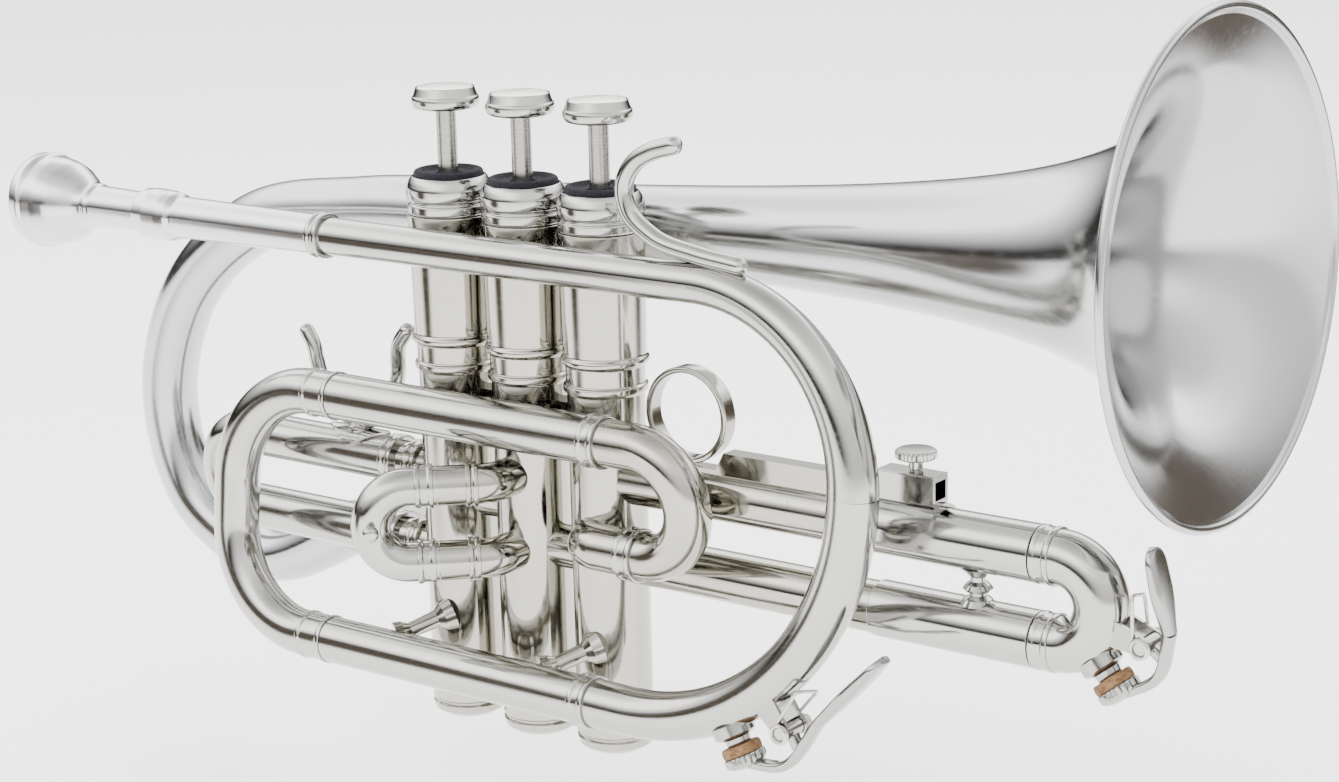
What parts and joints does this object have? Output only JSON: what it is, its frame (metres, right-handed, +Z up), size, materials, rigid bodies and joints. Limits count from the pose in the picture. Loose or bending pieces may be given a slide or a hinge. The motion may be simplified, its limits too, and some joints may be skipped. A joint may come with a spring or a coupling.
{
  "type": "cornet",
  "caption": "Compact brass instrument with piston valves, a curled shepherd's-crook bell tube, tuning slides, water keys and a removable mouthpiece.",
  "frame": {"origin": "on the middle valve's axis, at the height where the left hand holds the valve casings", "axes": "+X towards the bell, +Y to the player's left, +Z up along the valves"},
  "size_m": [0.353, 0.127, 0.1984],
  "materials": {
    "nickel_plate": "polished nickel plate",
    "mouthpiece_plate": "polished silver plate",
    "pearl": "polished mother of pearl",
    "felt": "black felt",
    "cork": "cork",
    "spring_steel": "drawn wire",
    "piston_metal": "honed",
    "steel": "turned and plated"
  },
  "bodies": {
    "cornet_body": {"bell": "nickel_plate", "bell_crook": "nickel_plate", "body_braces": "nickel_plate", "bottom_valve_caps": "nickel_plate", "cap_felts": "felt", "casing_connectors": "nickel_plate", "finger_ring": "nickel_plate", "finger_ring_rail": "nickel_plate", "first_fixed_legs": "nickel_plate", "front_bow": "nickel_plate", "front_water_key_saddle": "nickel_plate", "front_water_key_screw": "steel", "inlet_bend": "nickel_plate", "leadpipe": "nickel_plate", "lyre_box": "nickel_plate", "mouthpiece_receiver": "nickel_plate", "outer_tuning_legs": "nickel_plate", "pinky_hook": "nickel_plate", "second_fixed_legs": "nickel_plate", "tail_pipe": "nickel_plate", "third_fixed_legs": "nickel_plate", "third_outer_legs": "nickel_plate", "third_slide_brace": "nickel_plate", "top_valve_caps": "nickel_plate", "tube_ferrules": "nickel_plate", "valve_casing_1": "nickel_plate", "valve_casing_2": "nickel_plate", "valve_casing_3": "nickel_plate", "valve_spring_1": "spring_steel", "valve_spring_2": "spring_steel", "valve_spring_3": "spring_steel"},
    "mouthpiece": {"mouthpiece": "mouthpiece_plate"},
    "main_tuning_slide": {"tuning_slide_bow": "nickel_plate", "tuning_slide_legs": "nickel_plate"},
    "first_slide": {"first_slide_legs": "nickel_plate", "first_slide_bow": "nickel_plate", "first_slide_saddle": "nickel_plate"},
    "second_slide": {"second_slide_legs": "nickel_plate", "second_slide_bow": "nickel_plate"},
    "third_slide": {"third_slide_legs": "nickel_plate", "third_slide_bow": "nickel_plate", "third_water_key_saddle": "nickel_plate", "third_water_key_screw": "steel"},
    "front_water_key": {"front_water_key_lever": "nickel_plate", "front_water_key_cork": "cork"},
    "third_water_key": {"third_water_key_lever": "nickel_plate", "third_water_key_cork": "cork"},
    "lyre_screw": {"lyre_thumbscrew": "nickel_plate"},
    "valve_1": {"piston_1": "piston_metal", "valve_stem_1": "steel", "finger_button_1": "nickel_plate", "pearl_inlay_1": "pearl"},
    "valve_2": {"piston_2": "piston_metal", "valve_stem_2": "steel", "finger_button_2": "nickel_plate", "pearl_inlay_2": "pearl"},
    "valve_3": {"piston_3": "piston_metal", "valve_stem_3": "steel", "finger_button_3": "nickel_plate", "pearl_inlay_3": "pearl"}
  },
  "joints": [
    {"name": "valve_1_press", "type": "slide", "parent": "cornet_body", "child": "valve_1", "axis": [0, 0, -1], "range_m": [0, 0.0155], "stiffness_N_per_m": 150, "springref_m": -0.02, "deforming": ["valve_spring_1"]},
    {"name": "valve_2_press", "type": "slide", "parent": "cornet_body", "child": "valve_2", "axis": [0, 0, -1], "range_m": [0, 0.0155], "stiffness_N_per_m": 150, "springref_m": -0.02, "deforming": ["valve_spring_2"]},
    {"name": "valve_3_press", "type": "slide", "parent": "cornet_body", "child": "valve_3", "axis": [0, 0, -1], "range_m": [0, 0.0155], "stiffness_N_per_m": 150, "springref_m": -0.02, "deforming": ["valve_spring_3"]},
    {"name": "mouthpiece_pull", "type": "slide", "parent": "cornet_body", "child": "mouthpiece", "axis": [-1, 0, 0], "range_m": [0, 0.025]},
    {"name": "main_tuning_pull", "type": "slide", "parent": "cornet_body", "child": "main_tuning_slide", "axis": [-1, 0, 0], "range_m": [0, 0.035]},
    {"name": "first_slide_pull", "type": "slide", "parent": "cornet_body", "child": "first_slide", "axis": [-1, 0, 0], "range_m": [0, 0.02]},
    {"name": "second_slide_pull", "type": "slide", "parent": "cornet_body", "child": "second_slide", "axis": [-0.7431, -0.6691, 0], "range_m": [0, 0.007]},
    {"name": "third_slide_pull", "type": "slide", "parent": "cornet_body", "child": "third_slide", "axis": [1, 0, 0], "range_m": [0, 0.028]},
    {"name": "front_water_key_press", "type": "hinge", "parent": "cornet_body", "child": "front_water_key", "pos_m": [0.09564, -0.0232, -0.05553], "axis": [0, -1, 0], "range_deg": [0, 16], "stiffness_Nm_per_rad": 0.15, "springref_deg": -20.05},
    {"name": "third_water_key_press", "type": "hinge", "parent": "third_slide", "child": "third_water_key", "pos_m": [0.17752, 0, -0.0257], "axis": [0, -1, 0], "range_deg": [0, 16], "stiffness_Nm_per_rad": 0.15, "springref_deg": -20.05},
    {"name": "lyre_screw_turn", "type": "hinge", "parent": "cornet_body", "child": "lyre_screw", "pos_m": [0.1164, 0, 0.009], "axis": [0, 0, 1], "range_deg": [0, 90]}
  ]
}
